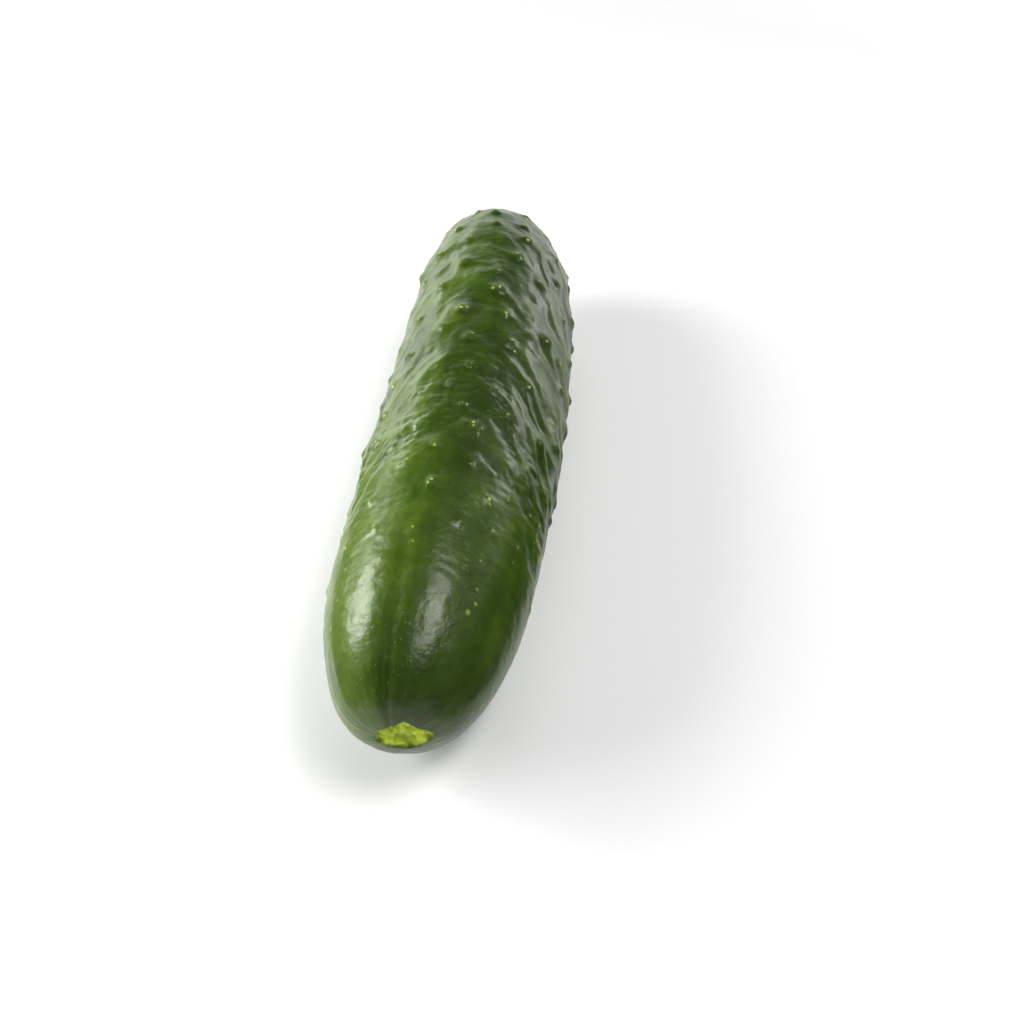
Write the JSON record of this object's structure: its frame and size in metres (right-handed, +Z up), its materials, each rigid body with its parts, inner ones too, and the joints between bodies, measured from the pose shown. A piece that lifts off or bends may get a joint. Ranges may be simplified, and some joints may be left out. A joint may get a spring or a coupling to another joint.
{
  "type": "slicing cucumber",
  "caption": "Whole slicing cucumber lying on its side: long, slightly bowed fruit with a smooth stem end, a torn pale stem scar and low warts towards the blossom end.",
  "frame": {"origin": "on the ground under the middle of the fruit's bounding box", "axes": "+X along the fruit from the stem end to the blossom end, +Z up from the side it lies on"},
  "size_m": [0.2208, 0.058, 0.0558],
  "materials": {
    "skin": "satin"
  },
  "bodies": {
    "root": {"cucumber": "skin"}
  },
  "joints": []
}
